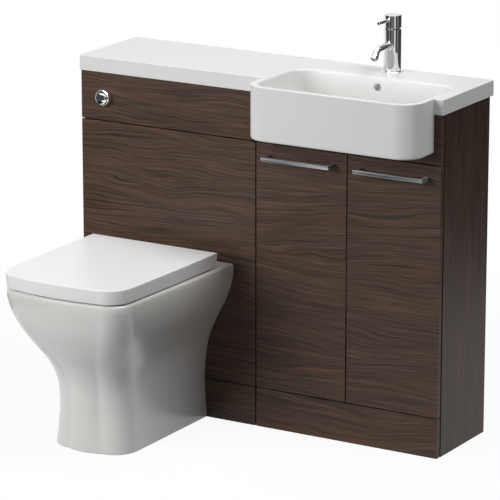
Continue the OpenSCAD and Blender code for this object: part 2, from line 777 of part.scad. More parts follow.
// The bowl's hollow from its sump to the rim, as [height, half width, half length, middle]
bowl_levels = [[212, 42, 62, -262], [240, 66, 92, -272], [280, 90, 124, -285], [330, 106, 146, -294],
    [385, 112, 156, -298], [pan_h + cut, 112, 156, -298]];
pan_screw_y = -95;
pan_screw_z = 36;
bracket_x = 81;

module pan_hollow() difference() {
    loft([for (i = [0 : 8]) pan_level(pan_stations[i], pan_wall, i == 0 ? -cut : i == 8 ? pan_h - 14 : pan_stations[i][0])]);
    // ceramic that stays: the bowl's wall and the blocks of the trapway and the flush inlet
    loft([for (l = bowl_levels) oval(l[1] + 12, l[2] + 12, l[3], l[0] - (l[0] > pan_h ? 0 : 12))]);
    board([-52, -162, 124], [52, 10, 305]);
    board([-40, -150, 300], [40, 10, 375]);
}

module pan() place() color(ceramic) at_wc() difference() {
    union() {
        loft([for (s = pan_stations) pan_level(s)]);
        translate([0, -eps, outlet_z]) rod_y(outlet_r, 45);
    }
    pan_hollow();
    loft([for (l = bowl_levels) oval(l[1], l[2], l[3], l[0])]);
    // trapway: up and back from the sump, down, and out through the spigot
    translate([0, -235, 232]) rotate([-65, 0, 0]) cylinder(r = 34, h = 130);
    translate([0, -110, 172]) cylinder(r = 38, h = 118);
    translate([0, -110, outlet_z]) rod_y(44, 160);
    // flush inlet, hinge holes and the side fixing holes
    translate([0, -60, inlet_z]) rod_y(27.5, 61);
    translate([0, -155, inlet_z]) rod_y(14, 100);
    for (s = [-1, 1]) {
        translate([s * hinge_x, hinge_y, 350]) cylinder(r = 7, h = 60);
        translate([s * 80 - 20, pan_screw_y, pan_screw_z]) rod_x(2.6, 40);
        translate([s * 120 - 20, pan_screw_y, pan_screw_z]) rod_x(4.2, 40);
    }
}

// The two blocks that are screwed to the floor inside the foot, and take the side screws
module pan_brackets() place() color(plastic) at_wc() for (s = [-1, 1])
    translate([s * bracket_x, pan_screw_y, 0]) difference() {
        translate([-10, -17, 0]) cube([20, 34, 52]);
        translate([0, 9, -cut]) cylinder(r = 4, h = 60);
        translate([-12, 0, pan_screw_z]) rod_x(2.05, 24);
    }

module pan_screws() place() color(steel) at_wc() for (s = [-1, 1])
    translate([0, pan_screw_y, pan_screw_z]) mirror([s < 0 ? 1 : 0, 0, 0]) {
        translate([74, 0, 0]) rod_x(2, 28);
        translate([100.2, 0, 0]) rod_x(3.9, 4);
    }

// ---------------------------------------------------------------- seat

function seat_outline(inset, z) =
    outline(lid_hw - inset, lid_hw - 7 - inset, -lid_back - inset, lid_reach - inset, 60 - inset / 2, pan_bow, z);

// Outer part of the lid and the ring: a flat plate between two heights
module seat_plate(inset, low, high) loft([for (z = [low, high]) seat_outline(inset, z)]);

module seat_ring() place() color(plastic) at_wc() difference() {
    union() {
        difference() {
            seat_plate(lid_skirt + 2, ring_z, ring_z + ring_t);
            // the back is cut short, so that the lid's back skirt swings down behind it
            board([-200, ring_back, ring_z - cut], [200, 0, ring_z + ring_t + cut]);
        }
        // two lugs out to the hinge pins
        for (s = [-1, 1]) translate([s * lug_x, hinge_y, hinge_z]) {
            translate([-lug_w / 2, 0, 0]) rod_x(7, lug_w);
            board([-lug_w / 2, ring_back - hinge_y - 1, -6], [lug_w / 2, 0.01, 6]);
        }
    }
    loft([for (z = [ring_z - cut, ring_z + ring_t + cut]) oval(104, 146, -296, z)]);
    for (s = [-1, 1]) translate([s * lug_x - 10, hinge_y, hinge_z]) rod_x(pin_r + run_clear, 20);
}

module seat_lid() place() color(plastic) at_wc() difference() {
    union() {
        difference() {
            seat_plate(0, lid_z, lid_top);
            seat_plate(lid_skirt, lid_z - cut, lid_top - lid_skin);
            // openings in the back skirt for the hinges
            for (s = [-1, 1]) translate([s * hinge_x, 0, 0])
                board([-24, -lid_back - 12, lid_z - cut], [24, -lid_back + 1, lid_top - lid_skin]);
        }
        for (s = [-1, 1]) translate([s * 64, hinge_y, 0]) {
            translate([-5.5, -7, hinge_z]) cube([11, 14, lid_top - lid_skin - hinge_z + eps]);
            translate([-5.5, 0, hinge_z]) rod_x(7, 11);
        }
    }
    for (s = [-1, 1]) translate([s * 64 - 10, hinge_y, hinge_z]) rod_x(pin_r + run_clear, 20);
}

// The two hinge posts on the pan's deck, each with its pin, its bolt and the nut under the deck
module seat_hinges() place() color(steel) at_wc() for (s = [-1, 1]) translate([s * hinge_x, hinge_y, 0]) {
    translate([0, 0, pan_h]) cylinder(r = 16, h = 2);
    translate([0, 0, pan_h - 40]) cylinder(r = 4, h = 42);
    translate([-7.6, -7, pan_h + 1]) cube([15.2, 14, hinge_z - pan_h - 1]);
    translate([-7.6, 0, hinge_z]) rod_x(7, 15.2);
    translate([-20, 0, hinge_z]) rod_x(pin_r, 40);
    translate([0, 0, pan_h - 26]) tube_z(11, 4.05, 12);
}

// Rubber feet under the ring
module seat_buffers() place() color(rubber) at_wc()
    for (s = [-1, 1], p = [[146, -150], [136, -420]])
        translate([s * p[0], p[1], pan_h]) cylinder(r = 8, h = ring_z - pan_h);

basin_top();
tap_body();
tap_aerator();
tap_base_ring();
tap_cartridge();
tap_spindle();
tap_cap();
tap_lever();
tap_washer();
tap_stud();
waste_body();
waste_plug();
waste_nut();
trap_body();
trap_cup();
trap_collars();
trap_outlet();
vanity_side_left();
vanity_side_right();
vanity_base();
vanity_front_rail();
vanity_back_rails();
vanity_fascia();
vanity_plinth();
door_left();
door_right();
handle_left();
handle_right();
handle_screws_left();
handle_screws_right();
hinge_cups_left();
hinge_cups_right();
hinge_links_left();
hinge_links_right();
hinge_arms();
panel_brackets();
wc_side_left();
wc_side_right();
wc_upper_panel();
wc_lower_panel();
wc_plinth();
wc_rails();
cistern_tank();
cistern_lid();
flush_valve();
flush_seal();
fill_valve();
fill_float();
flush_pipe();
button_collar();
button_nut();
button_full();
button_half();
pan();
pan_brackets();
pan_screws();
seat_ring();
seat_lid();
seat_hinges();
seat_buffers();
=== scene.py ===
"""Toilet and basin combination unit: finishes, refined skins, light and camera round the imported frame."""
import math
import random

import bmesh
import bpy
from mathutils import Matrix, Vector

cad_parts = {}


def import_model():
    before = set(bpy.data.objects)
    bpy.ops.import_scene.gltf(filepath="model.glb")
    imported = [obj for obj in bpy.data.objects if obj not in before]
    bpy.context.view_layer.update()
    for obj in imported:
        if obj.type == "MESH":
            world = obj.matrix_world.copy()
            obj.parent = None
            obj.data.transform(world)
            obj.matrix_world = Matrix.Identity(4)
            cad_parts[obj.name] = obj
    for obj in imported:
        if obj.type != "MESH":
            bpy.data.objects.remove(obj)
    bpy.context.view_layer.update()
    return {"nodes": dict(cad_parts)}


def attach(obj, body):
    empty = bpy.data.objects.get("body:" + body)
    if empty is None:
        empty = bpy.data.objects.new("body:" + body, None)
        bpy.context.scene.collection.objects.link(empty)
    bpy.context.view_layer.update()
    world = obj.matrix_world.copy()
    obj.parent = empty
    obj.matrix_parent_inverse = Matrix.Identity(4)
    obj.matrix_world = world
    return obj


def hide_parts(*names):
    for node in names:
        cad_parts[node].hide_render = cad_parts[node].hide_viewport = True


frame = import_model()
NODES = frame["nodes"]
MM = 0.001

# Places and sizes that the refined skins share with the frame, in millimetres
FRONT_Y = 120.0
TOP_Z = 871.0
TOP_UNDER_Z = 834.0
TOP_HALF_W = 503.5
TOP_FRONT_Y, TOP_REAR_Y = 118.0, 376.0
BOWL_X = (21.5, 478.5)
BOWL_Y = (19.0, 294.0)
BOWL_BOTTOM_Z = 740.0
BOWL_WALL = 17.0
WASTE = (250.0, 180.0)
OVERFLOW = (250.0, 266.0, 845.0)
TAP = (250.0, 337.0)
PAN_X = -250.0
PAN_RIM_Z = 403.0
BUTTON = (-429.0, 773.0)
HINGE_Y, HINGE_Z = 49.0, 420.0


# ---------------------------------------------------------------- shader sockets as Python values


class Wire:
    """A socket's varying number; arithmetic on it adds Math nodes."""

    def __init__(self, finish, socket):
        self.finish, self.socket = finish, socket

    def math(self, operation, *rest):
        return self.finish.maths(operation, self, *rest)

    def __add__(self, other):
        return self.math("ADD", other)

    def __sub__(self, other):
        return self.math("SUBTRACT", other)

    def __rsub__(self, other):
        return self.finish.maths("SUBTRACT", other, self)

    def __mul__(self, other):
        return self.math("MULTIPLY", other)

    __radd__, __rmul__ = __add__, __mul__

    def between(self, low, high):
        """0 below low and 1 above high, with soft ends."""
        return self.finish.node(
            "ShaderNodeMapRange", {"interpolation_type": "SMOOTHSTEP"}, {0: self, 1: low, 2: high}
        )


class Finish:
    """A node material for one finish."""

    def __init__(self, name, **constants):
        self.material = bpy.data.materials.new(name)
        self.material.use_nodes = True
        self.tree = self.material.node_tree
        self.bsdf = self.tree.nodes["Principled BSDF"]
        for socket, value in constants.items():
            self.bsdf.inputs[socket.replace("_", " ")].default_value = value

    def node(self, kind, settings=None, inputs=None, out=0):
        """Adds a node: its settings first, then its sockets' values or links."""
        made = self.tree.nodes.new(kind)
        for name, value in (settings or {}).items():
            if name == "stops":
                self.set_stops(made.color_ramp, value)
            else:
                setattr(made, name, value)
        for key, value in (inputs or {}).items():
            self.feed(made.inputs[key], value)
        return Wire(self, made.outputs[out])

    @staticmethod
    def set_stops(ramp, stops):
        """Gives a ramp its stops, each a place and a colour."""
        while len(ramp.elements) < len(stops):
            ramp.elements.new(0.5)
        for element, (place, colour) in zip(ramp.elements, stops):
            element.position = place
            element.color = (*colour, 1.0)

    def feed(self, socket, value):
        if isinstance(value, Wire):
            self.tree.links.new(value.socket, socket)
        else:
            socket.default_value = value

    def maths(self, operation, *values):
        return self.node("ShaderNodeMath", {"operation": operation}, dict(enumerate(values)))

    def place(self):
        """The point in the unit's own frame, in metres."""
        return self.node("ShaderNodeTexCoord", out="Object")

    def split(self, vector):
        """A vector's three numbers."""
        made = self.node("ShaderNodeSeparateXYZ", inputs={0: vector}).socket.node
        return [Wire(self, made.outputs[axis]) for axis in range(3)]

    def joined(self, x, y, z):
        return self.node("ShaderNodeCombineXYZ", inputs={0: x, 1: y, 2: z})

    def scaled(self, vector, factors):
        return self.node("ShaderNodeVectorMath", {"operation": "MULTIPLY"}, {0: vector, 1: factors})

    def noise(self, vector, scale, detail, roughness=0.5):
        return self.node(
            "ShaderNodeTexNoise",
            inputs={"Vector": vector, "Scale": scale, "Detail": detail, "Roughness": roughness},
        )

    def mixed(self, factor, low, high, blend="MIX"):
        """A colour between two colours, which a Mix node takes at its sockets 6 and 7."""
        low, high = (c if isinstance(c, Wire) else (*c, 1.0) for c in (low, high))
        settings = {"data_type": "RGBA", "blend_type": blend}
        return self.node("ShaderNodeMix", settings, {0: factor, 6: low, 7: high}, out=2)

    def bump(self, height, distance, strength):
        sockets = {"Height": height, "Distance": distance, "Strength": strength}
        self.feed(self.bsdf.inputs["Normal"], self.node("ShaderNodeBump", inputs=sockets))

    def give(self, **varying):
        """Feeds the shader's sockets that change over the surface."""
        for socket, value in varying.items():
            self.feed(self.bsdf.inputs[socket.replace("_", " ")], value)


# ---------------------------------------------------------------- finishes

WALNUT_DEEP = (0.024, 0.0155, 0.012)
WALNUT_DARK = (0.052, 0.034, 0.025)
WALNUT_MID = (0.092, 0.055, 0.038)
WALNUT_PALE = (0.160, 0.094, 0.062)
WALNUT_PORE = (0.014, 0.010, 0.008)
WALNUT_GREY_TINT = (0.95, 1.0, 1.06)
WALNUT_RED_TINT = (1.07, 0.96, 0.90)


def walnut(name, along, across, seed, tone=0.0, swirl=1.0):
    """Dark walnut veneer: bands and fine lines that follow the hills of the cut, and open pores.

    along and across are the axes of the grain and of the width, 0 for X, 1 for Y and 2 for Z."""
    finish = Finish(name, Roughness=0.45, Specular_IOR_Level=0.22)
    draw = random.Random(seed)
    axes = finish.split(finish.place())
    run, width = axes[along], axes[across]
    shift = (draw.uniform(0, 9), draw.uniform(0, 9), draw.uniform(0, 9))

    def field(run_scale, width_scale, detail, roughness=0.5, step=0.0, height=width):
        """Noise with its own number of spots to the metre along the grain and across it."""
        x = run * run_scale + (shift[0] + step)
        y = height * width_scale + shift[1]
        return finish.noise(finish.joined(x, y, shift[2] + step), 1.0, detail, roughness)

    hills = field(2.1, 6.5, detail=1.0)
    knolls = field(5.0, 15.0, detail=1.0, step=3.1)
    waves = field(16.0, 30.0, detail=1.0, step=4.9)
    cut = width + ((hills - 0.5) * 0.10 + (knolls - 0.5) * 0.026 + (waves - 0.5) * 0.006) * swirl
    bands = field(1.6, 60.0, detail=1.0, step=1.3, height=cut)
    strength = field(3.2, 14.0, detail=1.0, step=9.4).between(0.3, 0.7)
    rings = (cut * 760.0 + (bands - 0.5) * 16.0).math("SINE") * (strength * 0.09 + 0.02)
    lines = field(5.0, 320.0, detail=3.0, roughness=0.65, step=2.7, height=cut)
    hairs = field(7.0, 620.0, detail=2.0, roughness=0.6, step=6.1, height=cut)
    fibres = field(24.0, 1500.0, detail=2.0, step=7.9)
    cloud = field(2.6, 9.0, detail=2.0, step=8.8)
    pores = field(60.0, 2300.0, detail=1.0, step=2.2).between(0.66, 0.78)

    # tone shifts the whole veneer lighter or darker; the negative tone of the side boards is painted shade.
    depth = 0.47 + tone + (bands - 0.5) * 0.28 + rings + (lines - 0.5) * 1.5 + (hairs - 0.5) * 1.25
    depth = depth + (fibres - 0.5) * 0.45 + (cloud - 0.5) * 0.3
    stops = [(0.0, WALNUT_DEEP), (0.3, WALNUT_DARK), (0.58, WALNUT_MID), (1.0, WALNUT_PALE)]
    colour = finish.node("ShaderNodeValToRGB", {"stops": stops}, {0: depth})
    redness = field(2.4, 110.0, detail=2.0, step=5.5, height=cut).between(0.35, 0.65)
    tint = finish.mixed(redness, WALNUT_GREY_TINT, WALNUT_RED_TINT)
    colour = finish.mixed(1.0, colour, tint, "MULTIPLY")
    colour = finish.mixed(pores * 0.5, colour, WALNUT_PORE)
    finish.give(Base_Color=colour, Roughness=0.42 + (lines - 0.5) * 0.14 + pores * 0.2)
    finish.bump(lines * 0.5 + fibres * 0.5 - pores * 1.2, 0.00012, 0.5)
    return finish.material


def cast_marble():
    """Gel-coated cast marble: a smooth, faintly warm white."""
    finish = Finish("cast_marble_gelcoat", Roughness=0.34, Coat_Roughness=0.2)
    place = finish.place()
    cloud = finish.noise(place, 7.0, 3.0)
    ripple = finish.noise(place, 60.0, 2.0)
    finish.give(
        Base_Color=finish.mixed(cloud, (0.79, 0.787, 0.775), (0.83, 0.828, 0.82)),
        Roughness=0.34 + (ripple - 0.5) * 0.08,
        Coat_Weight=0.10 + (cloud - 0.5) * 0.08,
    )
    finish.bump(ripple, 0.00012, 0.25)
    return finish.material


def glazed_ceramic():
    """Vitreous china under a thick glaze that flows a little over large faces."""
    finish = Finish("glazed_ceramic", Roughness=0.22, Coat_Roughness=0.14)
    place = finish.place()
    cloud = finish.noise(place, 9.0, 3.0)
    flow = finish.noise(place, 22.0, 2.0)
    peel = finish.noise(place, 240.0, 2.0)
    finish.give(
        Base_Color=finish.mixed(cloud, (0.765, 0.757, 0.735), (0.815, 0.807, 0.788)),
        Roughness=0.22 + (flow - 0.5) * 0.05,
        Coat_Weight=0.35 + (cloud - 0.5) * 0.15,
    )
    finish.bump(flow + peel * 0.06, 0.0002, 0.3)
    return finish.material


def moulded_plastic(name, dark, pale, roughness, grain, depth, shine=0.5):
    """Injection-moulded plastic with a fine spark grain."""
    finish = Finish(name, Roughness=roughness, Specular_IOR_Level=shine)
    place = finish.place()
    cloud = finish.noise(place, 12.0, 3.0)
    spark = finish.noise(place, grain, 2.0)
    finish.give(Base_Color=finish.mixed(cloud, dark, pale), Roughness=roughness + (spark - 0.5) * 0.12)
    finish.bump(spark, depth, 0.3)
    return finish.material


def chrome():
    """Polished chrome plate with faint wipe marks."""
    finish = Finish("chrome_plate", Metallic=1.0, Roughness=0.04)
    place = finish.place()
    wipe = finish.noise(finish.scaled(place, (1.0, 1.0, 0.35)), 90.0, 3.0)
    finish.give(
        Base_Color=finish.mixed(wipe, (0.86, 0.865, 0.87), (0.90, 0.903, 0.906)),
        Roughness=wipe.between(0.45, 0.8) * 0.05 + 0.03,
    )
    finish.bump(wipe, 0.00002, 0.2)
    return finish.material


def brushed(name, run_axis, dark, pale, roughness, fine=900.0, metal=1.0):
    """Brushed metal: fine lines along one axis, 0 for X, 1 for Y and 2 for Z."""
    finish = Finish(name, Metallic=metal, Roughness=roughness)
    place = finish.place()
    factors = [fine, fine, fine]
    factors[run_axis] = fine / 80.0
    lines = finish.noise(finish.scaled(place, tuple(factors)), 1.0, 3.0, 0.6)
    cloud = finish.noise(place, 35.0, 2.0)
    finish.give(
        Base_Color=finish.mixed(lines.between(0.32, 0.68), dark, pale),
        Roughness=roughness + (lines - 0.5) * 0.18 + (cloud - 0.5) * 0.08,
    )
    finish.bump(lines, 0.00003, 0.6)
    return finish.material


# ---------------------------------------------------------------- mesh helpers, in millimetres


def laid(name, mesh):
    """An object in the scene from a working mesh, which is used up."""
    data = bpy.data.meshes.new(name)
    mesh.to_mesh(data)
    mesh.free()
    made = bpy.data.objects.new(name, data)
    bpy.context.scene.collection.objects.link(made)
    return made


def solid(name, points, faces):
    """A closed mesh object from points in millimetres."""
    mesh = bmesh.new()
    verts = [mesh.verts.new(Vector(p) * MM) for p in points]
    for face in faces:
        mesh.faces.new([verts[i] for i in face])
    bmesh.ops.recalc_face_normals(mesh, faces=mesh.faces)
    return laid(name, mesh)


def skin(name, rings, closed=False):
    """A solid over rings of equally many points, its ends capped, or joined where closed is true."""
    count, last = len(rings[0]), len(rings) - 1
    points = [p for ring in rings for p in ring]
    faces = []
    for k in range(last + 1 if closed else last):
        a, b = k * count, (k + 1) % (last + 1) * count
        faces += [(a + i, a + (i + 1) % count, b + (i + 1) % count, b + i) for i in range(count)]
    if not closed:
        faces += [tuple(range(count)), tuple(last * count + i for i in range(count))]
    return solid(name, points, faces)


def turned(name, profile, count, matrix):
    """A turned solid: profile is (radius, height) about Z; a radius of 0 closes an end."""
    points, faces, rows = [], [], []
    for radius, height in profile:
        if radius == 0:
            rows.append([len(points)] * count)
            points.append(Vector((0, 0, height)))
        else:
            rows.append(list(range(len(points), len(points) + count)))
            for i in range(count):
                a = 2 * math.pi * i / count
                points.append(Vector((radius * math.cos(a), radius * math.sin(a), height)))
    pairs = list(zip(rows, rows[1:]))
    if profile[0][0] and profile[-1][0]:
        pairs.append((rows[-1], rows[0]))
    for low, high in pairs:
        for i in range(count):
            j = (i + 1) % count
            corners = dict.fromkeys((low[i], low[j], high[j], high[i]))
            if len(corners) > 2:
                faces.append(tuple(corners))
    return solid(name, [matrix @ p for p in points], faces)


def rod(name, radius, start, stop, count, matrix):
    """A plain round rod, or the tool of a plain round hole."""
    return turned(name, [(0, start), (radius, start), (radius, stop), (0, stop)], count, matrix)


def moved(place, degrees=0.0, axis="X"):
    """A turn about an axis, and then a move to a place."""
    return Matrix.Translation(place) @ Matrix.Rotation(math.radians(degrees), 4, axis)


def block(name, low, high):
    """A box between two corners."""
    (x0, y0, z0), (x1, y1, z1) = low, high
    points = [(x, y, z) for x in (x0, x1) for y in (y0, y1) for z in (z0, z1)]
    faces = [(0, 1, 3, 2), (4, 6, 7, 5), (0, 4, 5, 1), (2, 3, 7, 6), (0, 2, 6, 4), (1, 5, 7, 3)]
    return solid(name, points, faces)


def swept(name, path, radii, count=48):
    """A round bar along a path in the plane X = constant, its radius given at each point."""
    side = Vector((1, 0, 0))
    angles = [2 * math.pi * i / count for i in range(count)]
    rings = []
    for k, point in enumerate(path):
        ahead = path[min(k + 1, len(path) - 1)] - path[max(k - 1, 0)]
        up = side.cross(ahead.normalized())
        rings.append([point + radii[k] * (math.cos(a) * side + math.sin(a) * up) for a in angles])
    return skin(name, rings)


def shaped(base, *steps):
    """Applies Boolean steps, each a pair of an operation and a tool, which is used up."""
    for operation, tool in steps:
        modifier = base.modifiers.new("shape", "BOOLEAN")
        modifier.operation = operation
        modifier.solver = "EXACT"
        modifier.object = tool
    bpy.context.view_layer.update()
    data = bpy.data.meshes.new_from_object(base.evaluated_get(bpy.context.evaluated_depsgraph_get()))
    base.modifiers.clear()
    base.data = data
    for _, tool in steps:
        bpy.data.objects.remove(tool)


def finished(piece, body, material, node, crease=32.0):
    """Shades a piece, puts its finish on, and sets it on its body in place of a CAD node."""
    data = piece.data
    data.shade_smooth()
    data.set_sharp_from_angle(angle=math.radians(crease))
    data.materials.clear()
    data.materials.append(material)
    normals = piece.modifiers.new("even shading", "WEIGHTED_NORMAL")
    normals.keep_sharp = True
    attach(piece, body)
    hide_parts(node)


def kept(node, material, edge):
    """Dresses a CAD node that stays, with its sharp edges eased by so many millimetres."""
    piece = NODES[node]
    piece.data.materials.clear()
    piece.data.materials.append(material)
    weld = piece.modifiers.new("join seams", "WELD")
    weld.merge_threshold = 2e-6
    ease = piece.modifiers.new("eased edges", "BEVEL")
    ease.width = edge * MM
    ease.segments = 2
    ease.limit_method = "ANGLE"
    ease.angle_limit = math.radians(40)
    ease.harden_normals = True


# ---------------------------------------------------------------- outlines

SHARPEST_CORNER = 0.05
CORNER_STEPS = 14
OVAL_SQUARENESS = 0.75  # 1 for an ellipse, and squarer below it
PAN_BOW = 9.0


def arc(centre, radius, start, stop, steps):
    """Points of a circular arc in a plane, angles in degrees."""
    return [
        (centre[0] + radius * math.cos(math.radians(a)), centre[1] + radius * math.sin(math.radians(a)))
        for a in (start + (stop - start) * i / steps for i in range(steps + 1))
    ]


def quarter(steps):
    """The angles of a quarter turn in equal steps."""
    return [math.pi / 2 * i / steps for i in range(steps + 1)]


def round_rectangle(x0, x1, y0, y1, front_r, rear_r, inset, z):
    """A rectangle with round corners, drawn in by inset; the same count of points at any inset."""
    points = []
    for x, y, r, start in (
        (x1 - front_r, y0 + front_r, front_r, -90),
        (x1 - rear_r, y1 - rear_r, rear_r, 0),
        (x0 + rear_r, y1 - rear_r, rear_r, 90),
        (x0 + front_r, y0 + front_r, front_r, 180),
    ):
        points += arc((x, y), max(r - inset, SHARPEST_CORNER), start, start + 90, CORNER_STEPS)
    return [(x, y, z) for x, y in points]


def rounded_levels(low, high, r_low, r_high, steps=5):
    """(height, inset) pairs of a wall with rounded bottom and top edges."""
    levels = [(low + r_low - r_low * math.sin(a), r_low - r_low * math.cos(a)) for a in quarter(steps)][::-1]
    levels += [(high - r_high + r_high * math.sin(a), r_high - r_high * math.cos(a)) for a in quarter(steps)]
    return levels


def smooth_value(stations, z, column):
    """A smooth curve through the stations' column at height z."""
    rows = [(s[0], s[column]) for s in stations]
    if z <= rows[0][0]:
        return rows[0][1]
    for k in range(len(rows) - 1):
        (z0, v0), (z1, v1) = rows[k], rows[k + 1]
        if z <= z1:
            before, after = rows[max(k - 1, 0)], rows[min(k + 2, len(rows) - 1)]
            m0 = (v1 - before[1]) / (z1 - before[0])
            m1 = (after[1] - v0) / (after[0] - z0)
            t, h = (z - z0) / (z1 - z0), z1 - z0
            return (
                (2 * t**3 - 3 * t**2 + 1) * v0
                + (t**3 - 2 * t**2 + t) * h * m0
                + (-2 * t**3 + 3 * t**2) * v1
                + (t**3 - t**2) * h * m1
            )
    return rows[-1][1]


def soft_outline(rear_half, front_half, rear_y, reach_y, corner, z, rear_corner=0.0):
    """Outline of the pan and the seat about X = PAN_X: straight back, sides that taper, bowed front."""
    half = [(rear_half, rear_y)]
    side_front = reach_y + PAN_BOW + corner
    side_rear = rear_y - rear_corner
    if rear_corner:
        half = [
            (rear_half - rear_corner + x, side_rear + y) for x, y in arc((0, 0), rear_corner, 90, 0, 6)
        ]
    for t in (i / 16 for i in range(1, 16)):
        half.append((rear_half - (rear_half - front_half) * t * t, side_rear + (side_front - side_rear) * t))
    half += arc((front_half - corner, side_front), corner, 0, -90, 16)
    for t in (1 - i / 8 for i in range(1, 9)):
        x = (front_half - corner) * t
        half.append((x, reach_y + PAN_BOW * (x / (front_half - corner)) ** 2))
    mirrored = [(-x, y) for x, y in half[-2::-1]]
    back = [((rear_half - rear_corner) * (i / 6 - 1), rear_y) for i in range(1, 12)]
    return [(PAN_X + x, y, z) for x, y in half + mirrored + back]


def oval_like(outline, half_x, half_y, middle_y, z):
    """The points of a squarish oval that lie in the same directions as an outline's points."""
    points = []
    for x, y, _ in outline:
        a = math.atan2((y - middle_y) / half_y, (x - PAN_X) / half_x)
        c, s = math.cos(a), math.sin(a)
        k = (abs(c) ** (2 / OVAL_SQUARENESS) + abs(s) ** (2 / OVAL_SQUARENESS)) ** (-OVAL_SQUARENESS / 2)
        points.append((PAN_X + half_x * k * c, middle_y + half_y * k * s, z))
    return points


# ---------------------------------------------------------------- worktop and bowl

TOP_EDGE_R = 1.6
TOP_UNDER_EDGE_R = 0.8
TOP_CORNER_R = 4
BOWL_FRONT_R, BOWL_REAR_R = 55, 24
BOWL_FOOT_R = 6
BOWL_LIP_R = 6
HOLLOW_CORNER_R = 46
HOLLOW_WALL = (  # depth below the rim, and how far the wall has come in there
    (21, 1.7), (43, 4.0), (62, 6.0), (81, 8.2), (91, 10.0), (99, 13.0),
    (105, 17.2), (109.6, 23.0), (112.6, 30.0), (113.7, 37.0), (114.0, 46.0),
)
TAP_HOLE_R = 17.5
WASTE_HOLE_R = 23
OVERFLOW_LEAN = 6


def worktop_and_bowl(material):
    """The cast worktop with its bowl in one piece, and the holes for the tap, waste and overflow."""
    slab_levels = rounded_levels(TOP_UNDER_Z, TOP_Z, TOP_UNDER_EDGE_R, TOP_EDGE_R)
    slab_sides = (-TOP_HALF_W, TOP_HALF_W, TOP_FRONT_Y, TOP_REAR_Y, TOP_CORNER_R, TOP_CORNER_R)
    slab = skin("worktop_with_bowl", [round_rectangle(*slab_sides, inset, z) for z, inset in slab_levels])

    bowl_levels = rounded_levels(BOWL_BOTTOM_Z, TOP_Z, BOWL_FOOT_R, TOP_EDGE_R, 7)
    bowl_sides = (*BOWL_X, *BOWL_Y, BOWL_FRONT_R, BOWL_REAR_R)
    outside = skin("bowl_outside", [round_rectangle(*bowl_sides, inset, z) for z, inset in bowl_levels])

    lip_z = TOP_Z - BOWL_LIP_R
    hollow_levels = [(TOP_Z + 2, -BOWL_LIP_R - 2), (TOP_Z + 0.01, -BOWL_LIP_R)]
    hollow_levels += [
        (lip_z + BOWL_LIP_R * math.cos(a), -BOWL_LIP_R + BOWL_LIP_R * math.sin(a)) for a in quarter(6)[1:]
    ]
    hollow_levels += [(TOP_Z - deep, inset) for deep, inset in HOLLOW_WALL]
    wall = (BOWL_X[0] + BOWL_WALL, BOWL_X[1] - BOWL_WALL, BOWL_Y[0] + BOWL_WALL, OVERFLOW[1])
    hollow_sides = (*wall, HOLLOW_CORNER_R, HOLLOW_CORNER_R)
    hollow = skin("bowl_hollow", [round_rectangle(*hollow_sides, inset, z) for z, inset in hollow_levels])

    to_back = moved((OVERFLOW[0], OVERFLOW[1] - 2.2, OVERFLOW[2]), -90 - OVERFLOW_LEAN)
    flare = [(12.6, 0.25), (11.4, 0.5), (10.2, 1.1), (9.1, 2.1), (8.3, 3.6), (8, 5.5)]
    overflow = turned("overflow_cut", [(0, -6), (12.6, -6), *flare, (8, 18), (0, 18)], 48, to_back)
    tap_hole = rod("tap_hole", TAP_HOLE_R, 800, 880, 48, moved((*TAP, 0)))
    waste_hole = rod("waste_hole", WASTE_HOLE_R, 730, 765, 48, moved((*WASTE, 0)))
    cuts = (("DIFFERENCE", tool) for tool in (hollow, overflow, tap_hole, waste_hole))
    shaped(slab, ("UNION", outside), *cuts)
    finished(slab, "unit", material, "basin_top", crease=25)


# ---------------------------------------------------------------- tap

TAP_R = 21
TAP_BORE_R = 17.5
BARREL_TOP_Z, BARREL_BORE_Z = 976, 940
CAP_LOW_Z, CAP_TOP_Z = 979, 1010
CAP_BORE_R = 18
SPOUT_Z = 939.5
SPOUT_LEAN = 2
SPOUT_R = 8.0
SPOUT_RUN = 67
SPOUT_BEND_R = 18
SPOUT_BEND_ANGLE = 49
SPOUT_BEND_STEPS = 12
NOZZLE = (  # distance past the bend, and radius
    (0.1, 7.6), (0.9, 7.6), (1.1, 8.2), (1.5, 8.5), (10.0, 9.0), (18.5, 9.5), (19.0, 9.2),
)
LEVER_Z = 999.0
LEVER_R = 4
LEVER_REACH = 70
RING_R, RING_BORE_R, RING_H = 26, 21.1, 2.5


def tap_spout():
    """The spout bar with its nozzle, and the tool of its mouth."""
    lean = moved((*TAP, SPOUT_Z), SPOUT_LEAN)
    path = [lean @ Vector((0, y, 0)) for y in (-7.0, -30.0, -50.0)]
    for i in range(SPOUT_BEND_STEPS + 1):
        a = math.radians(SPOUT_BEND_ANGLE * i / SPOUT_BEND_STEPS)
        forward, down = SPOUT_RUN + SPOUT_BEND_R * math.sin(a), SPOUT_BEND_R - SPOUT_BEND_R * math.cos(a)
        path.append(lean @ Vector((0, -forward, -down)))
    turn = math.radians(SPOUT_BEND_ANGLE)
    ahead = (lean.to_3x3() @ Vector((0, -math.cos(turn), -math.sin(turn)))).normalized()
    radii = [SPOUT_R] * len(path) + [radius for _, radius in NOZZLE]
    end = path[-1]
    path += [end + ahead * distance for distance, _ in NOZZLE]
    tip = path[-1]
    mouth = swept("mouth_cut", [tip - ahead * 8, tip + ahead * 2], [SPOUT_R, SPOUT_R])
    return swept("tap_spout", path, radii, 64), mouth


